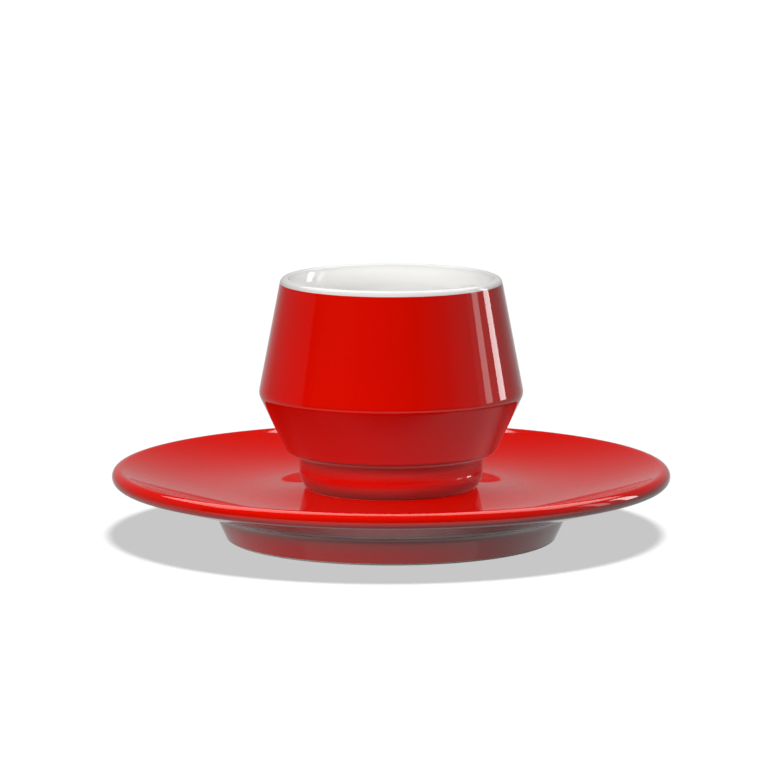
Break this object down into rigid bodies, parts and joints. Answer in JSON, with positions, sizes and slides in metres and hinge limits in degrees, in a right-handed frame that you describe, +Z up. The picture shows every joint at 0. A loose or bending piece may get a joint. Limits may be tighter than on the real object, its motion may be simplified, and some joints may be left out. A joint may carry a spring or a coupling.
{
  "type": "espresso cup with saucer",
  "caption": "Glazed espresso cup without a handle, coned above and below its widest edge, white inside and red outside, standing on a round red saucer with a foot ring.",
  "frame": {"origin": "centre of the saucer's standing ring, on the surface that it stands on", "axes": "+Z up along the common axis of cup and saucer; X and Y are alike"},
  "size_m": [0.132, 0.132, 0.0619],
  "materials": {
    "biscuit": "fired porcelain, bare and matt",
    "red_glaze": "smooth gloss",
    "white_glaze": "smooth gloss"
  },
  "bodies": {
    "saucer": {"saucer_body": "biscuit", "saucer_red_glaze": "red_glaze"},
    "cup": {"cup_body": "biscuit", "cup_white_glaze": "white_glaze", "cup_red_glaze": "red_glaze"}
  },
  "joints": [
    {"name": "cup_lift", "type": "slide", "parent": "saucer", "child": "cup", "axis": [0, 0, 1], "range_m": [0, 0.06]}
  ]
}
